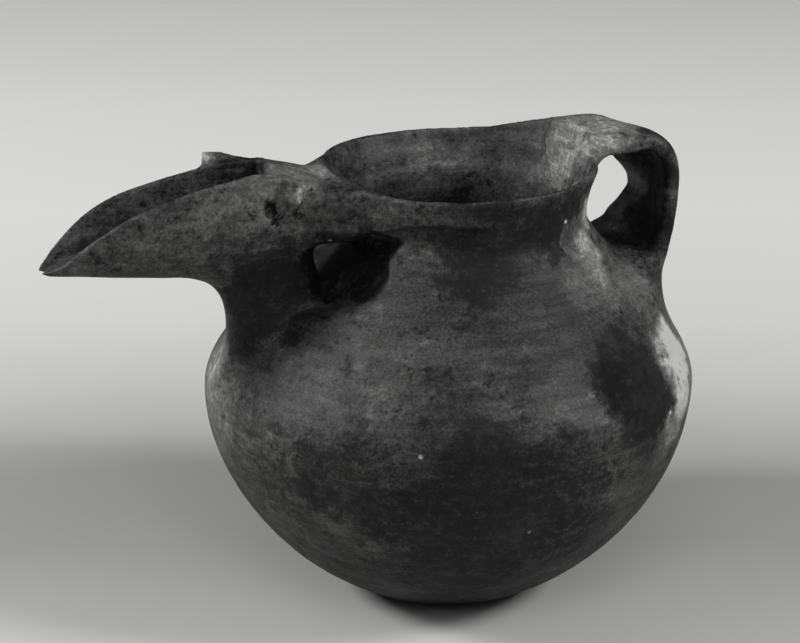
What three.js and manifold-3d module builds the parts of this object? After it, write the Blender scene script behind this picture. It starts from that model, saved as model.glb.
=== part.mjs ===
// A hand-built grey ware jug with an open beak spout, a bridge from the beak to the rim and a strap handle.
// Millimetres, +Z up. The origin is the centre of the flattened base, the spout points along -X and the
// handle along +X. Left and right are those of someone who pours: left is -Y and right is +Y.
// Each mesh is one piece of clay as the potter formed it, before the pieces were luted together.
import * as THREE from "three";
import { mergeVertices } from "three/addons/utils/BufferGeometryUtils.js";
import Module from "manifold-3d";

const wasm = await Module();
wasm.setup();

// Vessel: its outside is three curves, from the base to the belly, to the neck and to the lip.
const baseRadius = 27;
const footSpread = 26;
const footRise = 7.5;
const bellyRadius = 86.3;
const bellyHeight = 76;
const bellyDrop = 36;
const shoulderFullness = 20;
const neckEase = 10;
const neckRadius = 44;
const neckHeight = 136;
const lipRadius = 48;
const lipHeight = 154;
const flareEase = 0.45; // share of the flare's height over which it leaves the neck
const flareTurnOut = 0.6; // where it turns out to the lip, as shares of its width and its height
const flareTurnUp = 0.7;
const wall = 6;
const lipThickness = 2.8;
const lipRounding = 0.69; // share of the lip's thickness that its round edge adds above the wall
const lipPull = 6.5; // how far the lip is drawn up to meet the handle
const lipPullFull = 19; // angle from the handle, in degrees, over which it is fully drawn up
const lipPullEnd = 38; // angle at which the lip is level again
const slabThickness = 7;
const neckFoot = 14; // the neck piece starts this far below the narrowest point
const lipStart = 5; // the rim piece starts this far above the narrowest point
const leanToHandle = 4.6; // how far the neck stands off the base's axis, towards the handle
const leanStart = 60; // height at which the wall begins to lean

// Beak: an open trough, from its tip to the joint with the bridge. Its back end is the head.
const beakReach = 145.5;
const beakJoint = 56;
const beakTipHeight = 130.6;
const beakTipDepth = 1.2;
const beakCrest = 161.2;
const beakCrestReach = 70;
const beakTipRun = 11.5; // the top edge leaves the tip in a line this long
const beakTipClimb = 0.36; // share of its rise that the edge has made by the end of that line
const beakCrestRun = 31; // it comes to the crest in a line this long
const beakCrestClimb = 5.2; // and this high
const beakKeelReach = 89.4;
const beakKeelHeight = 124.2;
const beakHalfWidth = 15.4;
const beakCheek = 1.2; // how far each cheek swells past the wall's top edge
const beakTaper = 30; // length over which the beak narrows to its tip
const beakTipHalfWidth = 1.6;
const beakWall = 2.9;
const beakFloor = 5.5;
const troughBack = 66;

// Throat: the tube that rises from the shoulder to the beak.
const throatFootReach = 56;
const throatFootHeight = 88;
const throatTopReach = 67.5;
const throatTopHeight = 126;
const throatHalfLength = 17.5;
const throatHalfWidth = 13.2;
const throatFlare = 4.5;
const boreHalfLength = 10;
const boreHalfWidth = 8.5;

// Bridge: the strap between the beak and the rim, and the bands that lute it round the neck.
const bridgeFrontDepth = 23;
const bridgeRimDepth = 18.5;
const bridgeSpread = 4.4; // how much wider each side of the bridge is at the rim
const bridgeCrown = 5; // height of the bridge's rounded top
const bandThickness = 4.8;
const bandDepth = 7.5;
const bandDrop = 10; // how much deeper a band is where it leaves the bridge
const leftBandEnd = 82.5; // angles from the spout, in degrees
const rightBandEnd = 60;
const bandStart = 15;
const bandStandOff = 0.8; // how far a band stands out past the lip
const bandTopDrop = 1.4; // how far below the lip it stops
const bandCorner = 1.6;

// Eyes: a thumbed hollow and a crescent of clay on each cheek, where the bridge meets the beak.
const eyeReach = 66;
const eyeHeight = 148.7;
const eyeRadius = 4.6;
const eyeDepth = 2;
const ridgeRadius = 1.7;
const ridgeSweep = 7;
const ridgeAngles = [100, 60, 20, -20, -50]; // degrees from straight behind the hollow
const ridgeLift = 2.2; // how far the crescent's middle stands above the hollow's

// Ear: the flap that stands out from the top of the right wall of the beak.
const earFront = 84.6;
const earLength = 14;
const earSpread = 4.6;
const earRise = 1.4;
const earThickness = 2.6;
const earRoot = 1; // how far its root is sunk in the wall's edge

// Handle: a strap from the lip to the shoulder.
const handleRise = 8.6; // how far the top of the arch stands above the lip
const handleInset = 4.9; // how far the strap stays inside the belly's reach
const handleThickness = 6;
const handleHalfWidth = 16;
const handleRootHalfWidth = 19;
const handleFootHalfWidth = 24;
const handleFootThickness = 12;
const handleFootHeight = 94;
// The strap's middle line, as shares of the way out from the lip and down from the arch's top to the foot.
const handleLine = [
  [-0.35, 0.16],
  [-0.14, 0.07],
  [0.1, 0.015],
  [0.33, 0],
  [0.59, 0.015],
  [0.84, 0.08],
  [0.96, 0.2],
  [1, 0.315],
  [0.965, 0.445],
  [0.86, 0.545],
  [0.8, 0.695],
  [0.77, 0.83],
];
const handleFootSunk = 8; // how deep the end of that line is in the shoulder

const luteGap = 0.3; // room left between two curved faces that meet
const turns = 48; // sides of everything that goes round the vessel

const clay = {
  body: { color: 0x4a4b4a, roughness: 0.72, metalness: 0 },
  rubbed: { color: 0x6a6a68, roughness: 0.66, metalness: 0 },
  smoked: { color: 0x3a3b3b, roughness: 0.74, metalness: 0 },
};

const radians = THREE.MathUtils.degToRad;
const lerp = THREE.MathUtils.lerp;
const v2 = (x, y) => new THREE.Vector2(x, y);
const v3 = (x, y, z) => new THREE.Vector3(x, y, z);
const count = (n) => Array.from({ length: n }, (_, i) => i);

const neckJoint = neckHeight - neckFoot;
const rimJoint = neckHeight + lipStart;
const leanAt = (z) => leanToHandle * THREE.MathUtils.smoothstep(z, leanStart, neckHeight);

// How far a point of the wall is drawn up towards the handle.
function pullAt(x, y, z) {
  const angle = THREE.MathUtils.radToDeg(Math.abs(Math.atan2(y, x)));
  const share = 1 - THREE.MathUtils.smoothstep(angle, lipPullFull, lipPullEnd);
  return lipPull * share * THREE.MathUtils.smoothstep(z, rimJoint, lipHeight);
}

// Curves of the vessel's outside, as radius and height.
const bowlSide = new THREE.CubicBezierCurve(
  v2(baseRadius, 0),
  v2(baseRadius + footSpread, footRise),
  v2(bellyRadius, bellyHeight - bellyDrop),
  v2(bellyRadius, bellyHeight),
);
const shoulderSide = new THREE.CubicBezierCurve(
  v2(bellyRadius, bellyHeight),
  v2(bellyRadius, bellyHeight + shoulderFullness),
  v2(neckRadius, neckHeight - neckEase),
  v2(neckRadius, neckHeight),
);
const flareHeight = lipHeight - neckHeight;
const flareSide = new THREE.CubicBezierCurve(
  v2(neckRadius, neckHeight),
  v2(neckRadius, neckHeight + flareHeight * flareEase),
  v2(lerp(neckRadius, lipRadius, flareTurnOut), neckHeight + flareHeight * flareTurnUp),
  v2(lipRadius, lipHeight - lipThickness * lipRounding),
);

// Points along a curve, moved out by a distance that goes from one value to another.
function offsetPoints(curve, pieces, from, to) {
  return count(pieces + 1).map((i) => {
    const t = i / pieces;
    const along = curve.getTangent(t);
    const out = v2(along.y, -along.x).multiplyScalar(lerp(from, to, t));
    return curve.getPoint(t).add(out);
  });
}

// The vessel's outside or inside from the base to the lip, where grow moves it away from the wall.
function side(depth, lipDepth, grow) {
  return [
    ...offsetPoints(bowlSide, 12, grow - depth, grow - depth),
    ...offsetPoints(shoulderSide, 10, grow - depth, grow - depth).slice(1),
    ...offsetPoints(flareSide, 5, grow - depth, grow - lipDepth).slice(1),
  ];
}

const outside = side(0, 0, 0);
const inside = side(wall, lipThickness, 0);

// The part of a side between two heights, with a new point at each height.
function between(points, low, high) {
  const cut = (a, b, z) => a.clone().lerp(b, (z - a.y) / (b.y - a.y));
  const kept = [];
  points.forEach((p, i) => {
    const before = points[i - 1];
    if (before && before.y < low && p.y > low) kept.push(cut(before, p, low));
    if (before && before.y < high && p.y > high) kept.push(cut(before, p, high));
    if (p.y >= low && p.y <= high) kept.push(p.clone());
  });
  return kept;
}

const radiusAt = (z) => between(outside, z, z)[0].x;

// A body of revolution about Z, moved sideways as the neck leans and up where the lip meets the handle.
function turned(profile) {
  const geometry = new THREE.LatheGeometry(profile, turns).rotateX(Math.PI / 2);
  const position = geometry.getAttribute("position");
  for (let i = 0; i < position.count; i++) {
    const p = v3(0, 0, 0).fromBufferAttribute(position, i);
    position.setXYZ(i, p.x + leanAt(p.z), p.y, p.z + pullAt(p.x, p.y, p.z));
  }
  geometry.computeVertexNormals();
  return geometry;
}

// A closed body through rings of points, closed at both ends by a fan.
function loft(rings) {
  const sides = rings[0].length;
  const centre = (ring) => ring.reduce((sum, p) => sum.add(p), v3(0, 0, 0)).divideScalar(sides);
  const points = [...rings.flat(), centre(rings[0]), centre(rings.at(-1))];
  const lastRing = (rings.length - 1) * sides;
  const faces = [];
  for (let j = 0; j < sides; j++) {
    const next = (j + 1) % sides;
    for (let i = 0; i < rings.length - 1; i++) {
      const a = i * sides;
      faces.push(a + j, a + next, a + sides + next, a + j, a + sides + next, a + sides + j);
    }
    faces.push(points.length - 2, next, j, points.length - 1, lastRing + j, lastRing + next);
  }
  const geometry = new THREE.BufferGeometry().setFromPoints(points);
  geometry.setIndex(faces);
  return geometry;
}

// A geometry as a solid that can be joined and cut, whichever way its faces were wound.
function solidOf(geometry) {
  const bare = new THREE.BufferGeometry().setAttribute("position", geometry.getAttribute("position"));
  bare.setIndex(geometry.index);
  const merged = mergeVertices(bare, 1e-3);
  const corners = merged.index.array;
  const faces = [];
  for (let i = 0; i < corners.length; i += 3) {
    const [a, b, c] = corners.slice(i, i + 3);
    if (a !== b && b !== c && c !== a) faces.push([a, b, c]);
  }
  const make = (list) => new wasm.Manifold(new wasm.Mesh({
    numProp: 3,
    vertProperties: merged.attributes.position.array,
    triVerts: new Uint32Array(list.flat()),
  }));
  const made = make(faces);
  return made.volume() > 0 ? made : make(faces.map(([a, b, c]) => [a, c, b]));
}

// The largest body of a solid, as a geometry.
function geometryOf(solid) {
  const largest = solid.decompose().reduce((a, b) => (b.volume() > a.volume() ? b : a));
  const mesh = largest.getMesh();
  const geometry = new THREE.BufferGeometry();
  geometry.setAttribute("position", new THREE.BufferAttribute(mesh.vertProperties, 3));
  geometry.setIndex(new THREE.BufferAttribute(mesh.triVerts, 1));
  geometry.computeVertexNormals();
  return geometry;
}

// Heights of the beak's top and underside, from the tip through the head to the rim.
const beakTop = new THREE.CubicBezierCurve(
  v2(-beakReach, beakTipHeight),
  v2(-beakReach + beakTipRun, lerp(beakTipHeight, beakCrest, beakTipClimb)),
  v2(-beakCrestReach - beakCrestRun, beakCrest - beakCrestClimb),
  v2(-beakCrestReach, beakCrest),
).getPoints(24);
const rimReach = lipRadius - leanToHandle;
function topAt(x) {
  if (x >= -beakCrestReach) {
    const t = (x + beakCrestReach) / (beakCrestReach - rimReach);
    return lerp(beakCrest, lipHeight, Math.min(1, t));
  }
  const next = Math.max(1, beakTop.findIndex((p) => p.x > x));
  const [a, b] = [beakTop[next - 1], beakTop[next]];
  return lerp(a.y, b.y, Math.max(0, (x - a.x) / (b.x - a.x)));
}
function undersideAt(x) {
  const toKeel = (x + beakReach) / (beakReach - beakKeelReach);
  if (toKeel < 1) return lerp(beakTipHeight - beakTipDepth, beakKeelHeight, toKeel);
  const toJoint = (x + beakKeelReach) / (beakKeelReach - beakJoint);
  if (toJoint < 1) return lerp(beakKeelHeight, topAt(-beakJoint) - bridgeFrontDepth, toJoint ** 2.5);
  const toRim = (x + beakJoint) / (beakJoint - rimReach);
  return topAt(x) - lerp(bridgeFrontDepth, bridgeRimDepth, Math.min(1, toRim));
}
function halfWidthAt(x) {
  const toFull = THREE.MathUtils.clamp((x + beakReach) / beakTaper, 0, 1);
  const spread = bridgeSpread * THREE.MathUtils.clamp((x + beakJoint) / (beakJoint - rimReach), 0, 1.3) ** 2;
  return Math.max(beakTipHalfWidth, beakHalfWidth * (1 - (1 - toFull) ** 2.4) ** 0.75) + spread;
}

// Half a cross-section's width, a share of the way down from its top edge to its keel.
function halfWidthDown(halfWidth, cheek, share) {
  const angle = Math.asin(share ** (1 / 0.9));
  return halfWidth * Math.cos(angle) ** 0.8 + cheek * Math.sin(2 * angle);
}

// A ring in a plane of constant X with a rounded keel, and a top that is level or crowned.
function headSection(x, { halfWidth, cheek = 0, low, high, crown = 0 }) {
  const below = count(19).map((i) => {
    const angle = (Math.PI * i) / 18;
    const share = Math.sin(angle) ** 0.9;
    const across = halfWidthDown(halfWidth, cheek, share) * Math.sign(Math.round(9 - i));
    return v3(x, across, lerp(high - crown, low, share));
  });
  const above = count(7).map((i) => {
    const across = -0.9 + 0.3 * i;
    return v3(x, halfWidth * across, high - crown + crown * (1 - Math.abs(across) ** 3) ** (1 / 2));
  });
  return [...below, ...above];
}
const beakStations = count(14).map((i) => lerp(-beakReach, -beakJoint, (i / 13) ** 1.5));
const outsideSection = (x, grow) => headSection(x, {
  halfWidth: halfWidthAt(x) + grow,
  cheek: beakCheek * THREE.MathUtils.smoothstep(x, -beakReach, -beakReach + beakTaper),
  low: undersideAt(x) - grow,
  high: topAt(x) + grow,
  crown: bridgeCrown * THREE.MathUtils.smoothstep(x, -beakCrestReach, -beakJoint),
});
function beakOutside(grow) {
  const rings = beakStations.map((x) => outsideSection(x, grow));
  if (grow > 0) rings.push(rings.at(-1).map((p) => p.clone().add(v3(grow, 0, 0))));
  return solidOf(loft(rings));
}

// Bridge, in planes of constant X from the beak's joint to inside the neck.
function bridgeBlock(grow) {
  const front = -beakJoint + (grow > 0 ? 0 : luteGap);
  const end = leanToHandle - neckRadius / 2;
  return solidOf(loft(count(9).map((i) => outsideSection(lerp(front, end, i / 8), grow))));
}

// The room inside the beak, open at the top from the tip to the head.
function troughRoom() {
  const headroom = 12;
  const stations = [...beakStations.filter((x) => x < -troughBack - 3), -troughBack];
  const rings = stations.map((x, i) => {
    const high = topAt(x);
    const halfWidth = Math.max(0.6, halfWidthAt(x) - beakWall);
    const low = Math.min(undersideAt(Math.min(x, -beakKeelReach)) + beakFloor, high - 0.5);
    const open = headSection(x, { halfWidth, low, high }).slice(0, 19);
    const past = i === 0 ? v3(-1, 0, 0) : v3(0, 0, 0);
    const ring = [...open, v3(x, -halfWidth, high + headroom), v3(x, halfWidth, high + headroom)];
    return ring.map((p) => p.add(past));
  });
  return solidOf(loft(rings));
}

// An oval tube about the throat's line, from one share of its length to another.
const throatLine = new THREE.LineCurve3(
  v3(-throatFootReach, 0, throatFootHeight),
  v3(-throatTopReach, 0, throatTopHeight),
);
function throatTube(from, to, halfLength, halfWidth, flare) {
  const steps = 8;
  const along = throatLine.getTangent(0);
  const across = v3(along.z, 0, -along.x);
  const rings = count(steps + 1).map((i) => {
    const t = lerp(from, to, i / steps);
    const extra = flare * (1 - THREE.MathUtils.smoothstep(t, 0, 0.75));
    const middle = throatLine.getPoint(t);
    return count(24).map((j) => {
      const angle = (2 * Math.PI * j) / 24;
      return middle
        .clone()
        .addScaledVector(across, (halfLength + extra) * Math.cos(angle))
        .add(v3(0, (halfWidth + extra) * Math.sin(angle), 0));
    });
  });
  return solidOf(loft(rings));
}

// The whole vessel, filled up to far above the lip, for cutting what is luted to its outside.
function vesselFilled(grow) {
  const edge = side(0, 0, grow);
  const above = lipHeight * 1.3;
  const profile = [v2(0, -grow), v2(baseRadius, -grow), ...edge, v2(edge.at(-1).x, above), v2(0, above)];
  return solidOf(turned(profile));
}

// The round edge of the lip, from the outside of the wall to its inside.
function lipArc(from, to) {
  const middle = from.clone().lerp(to, 0.5);
  const spoke = from.clone().sub(middle);
  return [1, 2, 3].map((i) => spoke.clone().rotateAround(v2(0, 0), (Math.PI * i) / 4).add(middle));
}

// A band of clay that hugs the neck under the lip, to the left (-1) or the right (1) of the spout.
function rimBand(hand, endAngle) {
  const facet = 360 / turns;
  const steps = Math.round((endAngle - bandStart) / facet);
  const outer = lipRadius + bandStandOff;
  const inner = neckRadius - wall / 2;
  const top = lipHeight - bandTopDrop;
  const rings = count(steps + 1).map((i) => {
    const t = i / steps;
    const angle = radians(180 - hand * (bandStart + facet * i));
    const low = lipHeight - bandDepth - bandDrop * (1 - t) ** 2;
    const foot = Math.min(outer, neckRadius + bandThickness);
    const at = (r, z) => v3(r * Math.cos(angle) + leanToHandle, r * Math.sin(angle), z);
    return [
      at(inner, low),
      at(foot - bandCorner, low),
      at(foot, low + bandCorner),
      at(outer, top - bandCorner),
      at(outer - bandCorner, top),
      at(inner, top),
    ];
  });
  return solidOf(loft(rings));
}

// The strap handle: a flattened oval carried along a curve from the lip down to the shoulder.
function handleStrap() {
  const half = handleThickness / 2;
  const lipX = leanToHandle + lipRadius;
  const archTop = lipHeight + handleRise - half;
  const furthest = bellyRadius - handleInset - half;
  const footX = radiusAt(handleFootHeight) + leanAt(handleFootHeight) - handleFootSunk;
  const reachAt = (out) => lerp(lipX, furthest, out);
  const heightAt = (down) => lerp(archTop, handleFootHeight, down);
  const spine = new THREE.CatmullRomCurve3([
    ...handleLine.map(([out, down]) => v3(reachAt(out), 0, heightAt(down))),
    v3(footX, 0, handleFootHeight),
  ]);
  const steps = 26;
  const rings = count(steps + 1).map((i) => {
    const t = i / steps;
    const middle = spine.getPoint(t);
    const along = spine.getTangent(t);
    const out = v3(along.z, 0, -along.x);
    const foot = THREE.MathUtils.smoothstep(t, 0.6, 0.95);
    const root = 1 - THREE.MathUtils.smoothstep(t, 0, 0.4);
    const halfWidth = handleHalfWidth + (handleRootHalfWidth - handleHalfWidth) * root
      + (handleFootHalfWidth - handleHalfWidth) * foot;
    const thick = half + (handleFootThickness / 2 - half) * foot;
    return count(16).map((j) => {
      const angle = (2 * Math.PI * j) / 16;
      const shaped = (value) => Math.sign(value) * Math.abs(value) ** 0.8;
      return middle
        .clone()
        .addScaledVector(out, thick * shaped(Math.sin(angle)))
        .add(v3(0, halfWidth * shaped(Math.cos(angle)), 0));
    });
  });
  return solidOf(loft(rings));
}

// Half the head's width at a place on its cheek.
function cheekAt(x, z) {
  const share = THREE.MathUtils.clamp((topAt(x) - z) / (topAt(x) - undersideAt(x)), 0, 1);
  return halfWidthDown(halfWidthAt(x), beakCheek, share);
}

// A thumbed hollow in the left (-1) or the right (1) cheek.
function eyeHollow(hand) {
  const geometry = new THREE.SphereGeometry(eyeRadius, 12, 8);
  geometry.translate(-eyeReach, hand * (cheekAt(-eyeReach, eyeHeight) + eyeRadius - eyeDepth), eyeHeight);
  return solidOf(geometry);
}

// A crescent of clay behind the hollow, half sunk in the cheek.
function eyeRidge(hand) {
  const path = new THREE.CatmullRomCurve3(
    ridgeAngles.map((degrees) => {
      const x = -eyeReach + ridgeSweep * Math.cos(radians(degrees));
      const z = eyeHeight + ridgeLift + ridgeSweep * Math.sin(radians(degrees));
      return v3(x, hand * cheekAt(x, z), z);
    }),
  );
  const round = new THREE.Shape(count(8).map((i) =>
    v2(Math.cos((Math.PI * i) / 4), Math.sin((Math.PI * i) / 4)).multiplyScalar(ridgeRadius)));
  return solidOf(new THREE.ExtrudeGeometry(round, { steps: 8, extrudePath: path, bevelEnabled: false }));
}

// The flap on top of the right wall, broken off square at its front.
function rightEar() {
  const rings = count(5).map((i) => {
    const t = i / 4;
    const x = -earFront + earLength * t;
    const edge = halfWidthAt(x);
    const top = topAt(x);
    const fade = 1 - t * t;
    return [
      v3(x, edge - earRoot, top - earThickness),
      v3(x, edge + earRoot, top - earThickness - earRoot),
      v3(x, edge + earRoot + earSpread * fade, top + earRise * fade - earThickness),
      v3(x, edge + earRoot / 2 + earSpread * fade, top + earRise * fade),
      v3(x, edge - earThickness / 2, top + earThickness / 3),
    ];
  });
  return solidOf(loft(rings));
}

const jug = new THREE.Group();

function add(name, geometry, finish) {
  const mesh = new THREE.Mesh(geometry, new THREE.MeshStandardMaterial(finish));
  mesh.name = name;
  jug.add(mesh);
}

// The wall between two heights, as a ring with level ends.
function wallRing(low, high) {
  const out = between(outside, low, high);
  return turned([...out, ...between(inside, low, high).reverse(), out[0]]);
}

// The wall above a height, with the lip's round edge.
function rimRing(low) {
  const out = between(outside, low, lipHeight);
  const back = between(inside, low, lipHeight).reverse();
  return turned([...out, ...lipArc(out.at(-1), back[0]), ...back, out[0]]);
}

const room = troughRoom().add(throatTube(-0.35, 1.25, boreHalfLength, boreHalfWidth, 0));
const eyes = eyeHollow(-1).add(eyeHollow(1));
const beakCutter = beakOutside(luteGap);
const bridgeCutter = bridgeBlock(luteGap);
const outsideCutter = vesselFilled(luteGap);

const slabProfile = [v2(0, 0), ...between(outside, 0, slabThickness), v2(0, slabThickness)];
add("base_slab", turned(slabProfile), clay.smoked);
add("lower_bowl", wallRing(slabThickness, bellyHeight), clay.body);
add("shoulder", geometryOf(solidOf(wallRing(bellyHeight, neckJoint)).subtract(room)), clay.body);
add("neck", wallRing(neckJoint, rimJoint), clay.body);
add("rim", rimRing(rimJoint), clay.rubbed);

const beak = beakOutside(0).subtract(room).subtract(eyes);
add("beak_trough", geometryOf(beak), clay.body);
const throat = throatTube(0.02, 1.35, throatHalfLength, throatHalfWidth, throatFlare)
  .subtract(outsideCutter)
  .subtract(beakCutter)
  .subtract(bridgeCutter)
  .subtract(room);
add("spout_throat", geometryOf(throat), clay.smoked);
const bridge = bridgeBlock(0).subtract(outsideCutter).subtract(room);
add("bridge_strap", geometryOf(bridge), clay.body);

for (const [name, hand, end] of [["left_rim_band", -1, leftBandEnd], ["right_rim_band", 1, rightBandEnd]]) {
  const band = rimBand(hand, end).subtract(outsideCutter).subtract(bridgeCutter);
  add(name, geometryOf(band), clay.body);
}
for (const [name, hand] of [["left_eye_ridge", -1], ["right_eye_ridge", 1]]) {
  add(name, geometryOf(eyeRidge(hand).subtract(beakCutter).subtract(bridgeCutter)), clay.rubbed);
}
add("right_ear", geometryOf(rightEar().subtract(beakCutter)), clay.rubbed);
add("handle_strap", geometryOf(handleStrap().subtract(outsideCutter)), clay.body);

export default jug;
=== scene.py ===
import math
import bpy
import numpy as np
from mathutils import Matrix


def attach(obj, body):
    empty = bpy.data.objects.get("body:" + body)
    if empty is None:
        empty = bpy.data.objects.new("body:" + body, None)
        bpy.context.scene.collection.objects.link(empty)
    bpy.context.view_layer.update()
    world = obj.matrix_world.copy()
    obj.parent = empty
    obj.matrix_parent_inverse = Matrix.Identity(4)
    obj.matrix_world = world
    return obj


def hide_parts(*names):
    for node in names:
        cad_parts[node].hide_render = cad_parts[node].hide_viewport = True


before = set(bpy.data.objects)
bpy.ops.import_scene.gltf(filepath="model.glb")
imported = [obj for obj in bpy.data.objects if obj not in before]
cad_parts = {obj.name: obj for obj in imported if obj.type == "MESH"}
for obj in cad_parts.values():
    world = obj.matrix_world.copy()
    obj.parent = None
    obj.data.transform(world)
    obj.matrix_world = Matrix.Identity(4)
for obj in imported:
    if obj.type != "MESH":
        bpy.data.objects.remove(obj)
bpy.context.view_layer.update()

import openvdb
from mathutils import Vector

# The jug is sculpted as one lump of clay: a grid of distances to the clay's surface, in millimetres, where
# each member is laid on with a soft joint, as the potter did. Then the grid is skinned, and the skin is cut
# into one closed piece for each member of the CAD part.
grid = {
    "cell": 0.8,
    "low": (-149.0, -90.0, -4.0),
    "high": (90.0, 90.0, 166.0),
    "band": 4.0,       # distances are kept this far from the surface
    "merged": 0.004,   # how readily faces of the skin are merged where it is nearly flat
    "top": 162.3,      # nothing rises above this
    "topRound": 0.8,
    "air": 30.0,       # the distance that the empty grid starts with
    "slices": 24,      # how many slices of it are laid at a time
}
origin = np.array(grid["low"])
counts = [int(round((b - a) / grid["cell"])) + 1 for a, b in zip(grid["low"], grid["high"])]
clay = np.full(counts, grid["air"], np.float32)


def smooth(value, start, end):
    t = np.clip((value - start) / (end - start), 0.0, 1.0)
    return t * t * (3 - 2 * t)


def mix(a, b, t):
    return a + (b - a) * t


def placed(low, high):
    # The part of the grid between two corners: its slices, and its coordinates along each axis.
    cuts, axes = [], []
    for i in range(3):
        first = max(0, int((low[i] - origin[i]) / grid["cell"]))
        last = min(counts[i], int((high[i] - origin[i]) / grid["cell"]) + 2)
        shape = [1, 1, 1]
        shape[i] = last - first
        cuts.append(slice(first, last))
        axes.append((origin[i] + grid["cell"] * np.arange(first, last)).astype(np.float32).reshape(shape))
    return tuple(cuts), axes


def joined(a, b, soft):
    # Union of two distances, with a fillet about as wide as soft.
    t = np.clip(0.5 + 0.5 * (b - a) / soft, 0.0, 1.0)
    return mix(b, a, t) - soft * t * (1 - t)


def carved(a, b, soft):
    return -joined(-a, b, soft)


def bezier(points, steps):
    p = [np.array(q, float) for q in points]
    t = np.linspace(0, 1, steps + 1)[:, None]
    return (1 - t) ** 3 * p[0] + 3 * t * (1 - t) ** 2 * p[1] + 3 * t * t * (1 - t) * p[2] + t ** 3 * p[3]


def throughPoints(points, steps):
    # A Catmull-Rom line through the points.
    p = np.array(points, float)
    p = np.vstack([2 * p[0] - p[1], p, 2 * p[-1] - p[-2]])
    out = []
    for i in range(1, len(p) - 2):
        for t in np.arange(steps) / steps:
            a, b, c, d = p[i - 1], p[i], p[i + 1], p[i + 2]
            out.append(0.5 * (2 * b + (c - a) * t + (2 * a - 5 * b + 4 * c - d) * t ** 2
                              + (3 * b - a - 3 * c + d) * t ** 3))
    return np.array(out + [p[-2]])


def outlineDistance(u, v, corners):
    # Distance from points to a closed outline, negative inside it.
    nearest = np.full(np.broadcast(u, v).shape, 1e9)
    inside = np.zeros(nearest.shape, bool)
    for a, b in zip(corners, np.roll(corners, -1, 0)):
        e = b - a
        t = np.clip(((u - a[0]) * e[0] + (v - a[1]) * e[1]) / (e @ e + 1e-12), 0, 1)
        nearest = np.minimum(nearest, (u - a[0] - t * e[0]) ** 2 + (v - a[1] - t * e[1]) ** 2)
        if a[1] != b[1]:
            inside ^= ((a[1] > v) != (b[1] > v)) & (u < e[0] * (v - a[1]) / e[1] + a[0])
    return np.where(inside, -np.sqrt(nearest), np.sqrt(nearest))


# The vessel: its wall in section, as radius and height, how it leans, and how its lip is drawn up.
vessel = {
    "bodySteps": 26, "flareSteps": 12,
    "bowl": [(27, 0), (53, 7.5), (86.3, 40), (86.3, 76)],
    "shoulder": [(86.3, 76), (86.3, 96), (44, 126), (44, 135.5)],
    "flare": [(44, 135.5), (44, 143.5), (46.4, 148.6), (48, 152.6)],
    "inner": [(45.1, 152.4), (43.9, 148.6), (42.0, 144.6), (39.4, 141.8), (38.4, 138.0), (38.2, 132.0),
              (38.4, 126.0), (40.0, 120.5), (44.6, 115.5)],
    "above": [(49, 166), (52, 176)],   # where the outside is carried on above the lip
    "pastAxis": -9,
    "foot": (27.0, 0.05),
    "innerFloor": 6.5, "innerTop": 113,
    "inset": 0.2,
    "wall": 6.0,
    "lean": 4.6, "leanAt": (60, 136),
    "pull": 7.6, "pullAt": (141, 154), "pullNear": (-18.5, -10.5), "pullFar": (46.0, 16.0), "pullAlong": (10, 34),
    # The far lip is wider toward the bridge: how much, where, how far round and at what height.
    "spread": 2.3, "spreadAngle": 130, "spreadReach": 45, "spreadAt": (141, 152),
    "pressed": 8.2, "pressedSoft": 3.0, "pressedFrom": (107.5, 113.0), "pressedTo": (134, 139),
    # How far round from the spout the neck is pressed in, at each height.
    "pressedEdge": [(109, 8), (112, 20), (115, 29), (118, 35), (121, 38), (125, 38.5), (130, 35.5), (134, 38),
                    (138, 45)],
}
# Distances in section are looked up in tables, over this reach of radius and height.
table = {"radius": (-2, 124), "height": (-8, 176), "spacing": 0.4}
lastCell = 1.001   # keeps a place inside the last cell of a table or grid


def bodyLine():
    bowl, shoulder = (bezier(vessel[name], vessel["bodySteps"]) for name in ("bowl", "shoulder"))
    return np.vstack([bowl, shoulder[1:]])


def outerLine():
    return np.vstack([bodyLine(), bezier(vessel["flare"], vessel["flareSteps"])[1:]])


def wallSection():
    outer = outerLine()
    run = np.gradient(outer, axis=0)
    out = np.stack([run[:, 1], -run[:, 0]], 1) / np.linalg.norm(run, axis=1)[:, None]
    outer = outer - out * vessel["inset"]
    outer[0] = vessel["foot"]
    inner = outer - out * vessel["wall"]
    below = inner[(inner[:, 1] < vessel["innerTop"]) & (inner[:, 1] > vessel["innerFloor"]) & (inner[:, 0] > 0)]
    inner = np.vstack([throughPoints(vessel["inner"], 5), below[::-1]])
    edge = 0.5 * (outer[-1] + inner[0])
    spoke = outer[-1] - edge
    turn = np.radians(np.arange(18, 180, 18))
    lip = edge + np.stack([spoke[0] * np.cos(turn) - spoke[1] * np.sin(turn),
                           spoke[0] * np.sin(turn) + spoke[1] * np.cos(turn)], 1)
    return np.vstack([[(vessel["pastAxis"], outer[0][1])], outer, lip, inner, [(vessel["pastAxis"], inner[-1][1])]])


def filledSection():
    top = vessel["above"][-1][1]
    return np.vstack([[(vessel["pastAxis"], 0)], outerLine(), vessel["above"], [(vessel["pastAxis"], top)]])


def drawnUp(x, y, z):
    # How far the lip is drawn up to the handle.
    near = smooth(y, *vessel["pullNear"])
    far = smooth(y, *vessel["pullFar"])
    side = smooth(x, *vessel["pullAlong"])
    return vessel["pull"] * near * far * side * smooth(z, *vessel["pullAt"])


def tableOf(outline):
    r, z = (np.arange(*table[name], table["spacing"]) for name in ("radius", "height"))
    return outlineDistance(r[:, None], z[None, :], outline).astype(np.float32)


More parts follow.
